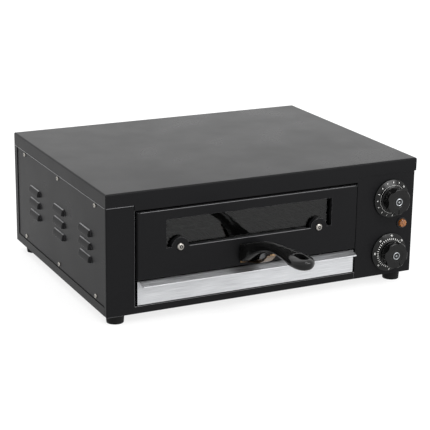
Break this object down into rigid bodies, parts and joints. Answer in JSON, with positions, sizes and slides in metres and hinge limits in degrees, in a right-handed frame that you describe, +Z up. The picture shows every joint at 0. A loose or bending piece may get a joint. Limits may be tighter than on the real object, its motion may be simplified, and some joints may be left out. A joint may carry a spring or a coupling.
{
  "type": "countertop pizza oven",
  "caption": "Low box-shaped countertop pizza oven with a glazed front on a pull-out wire rack, a long handle, a crumb tray, two dials and a pilot lamp.",
  "frame": {"origin": "on the counter, under the middle of the whole outline, handle included", "axes": "+Z up, -Y is the front with the handle, +X to the right seen from the front, where the dials are"},
  "size_m": [0.5752, 0.638, 0.22],
  "materials": {
    "black_enamel": "satin black baked enamel on steel sheet",
    "zinc_steel": "zinc plated steel",
    "yellow_zinc": "yellow passivated zinc plated steel",
    "aluminised_steel": "hot dip aluminised steel, matt",
    "heater_sheath": "heat-darkened steel tube",
    "ceramic_white": "unglazed white ceramic",
    "copper_tube": "drawn copper",
    "screw_steel": "polished nickel plated steel",
    "chrome_trim": "polished chrome",
    "black_bakelite": "glossy moulded phenolic",
    "black_nylon": "moulded nylon",
    "amber_lens": "clear amber moulding, faceted",
    "black_rubber": "matt moulded rubber",
    "tempered_glass": "clear tempered glass",
    "chromed_wire": "chromed steel wire",
    "brushed_stainless": "brushed stainless steel, grain along the front"
  },
  "bodies": {
    "root": {"top_cover": "black_enamel", "front_frame": "black_enamel", "control_panel": "black_enamel", "base_pan": "black_enamel", "rear_panel": "black_enamel", "left_side_panel": "black_enamel", "right_side_panel": "black_enamel", "frame_rails": "zinc_steel", "rear_posts": "zinc_steel", "chamber_roof": "aluminised_steel", "chamber_left_wall": "aluminised_steel", "chamber_right_wall": "aluminised_steel", "chamber_back": "aluminised_steel", "rack_runners": "zinc_steel", "tray_runners": "zinc_steel", "upper_element": "heater_sheath", "lower_element": "heater_sheath", "chamber_clips": "zinc_steel", "thermostat_body": "ceramic_white", "thermostat_bulb": "copper_tube", "timer_body": "zinc_steel", "pilot_body": "black_nylon", "pilot_lens": "amber_lens", "limit_switch": "ceramic_white", "terminal_block": "ceramic_white", "cord_gland": "black_nylon", "feet": "black_rubber", "foot_screws": "screw_steel", "side_screws": "screw_steel", "rear_screws": "screw_steel"},
    "rack_drawer": {"door_panel": "black_enamel", "door_liner": "aluminised_steel", "window_frame": "black_enamel", "window_glass": "tempered_glass", "door_screws": "screw_steel", "door_handle": "black_bakelite", "handle_bracket": "yellow_zinc", "handle_screws": "screw_steel", "wire_rack": "chromed_wire"},
    "crumb_tray": {"crumb_tray": "brushed_stainless"},
    "thermostat_dial": {"thermostat_knob": "black_bakelite", "thermostat_cap": "chrome_trim", "thermostat_shaft": "screw_steel"},
    "timer_dial": {"timer_knob": "black_bakelite", "timer_cap": "chrome_trim", "timer_shaft": "screw_steel"}
  },
  "joints": [
    {"name": "rack_slide", "type": "slide", "parent": "root", "child": "rack_drawer", "axis": [0, -1, 0], "range_m": [0, 0.32]},
    {"name": "tray_slide", "type": "slide", "parent": "root", "child": "crumb_tray", "axis": [0, -1, 0], "range_m": [0, 0.36]},
    {"name": "thermostat_turn", "type": "hinge", "parent": "root", "child": "thermostat_dial", "pos_m": [0.2367, -0.128, 0.1533], "axis": [0, 1, 0], "range_deg": [0, 270]},
    {"name": "timer_turn", "type": "hinge", "parent": "root", "child": "timer_dial", "pos_m": [0.2367, -0.128, 0.0577], "axis": [0, 1, 0], "range_deg": [0, 300]}
  ]
}
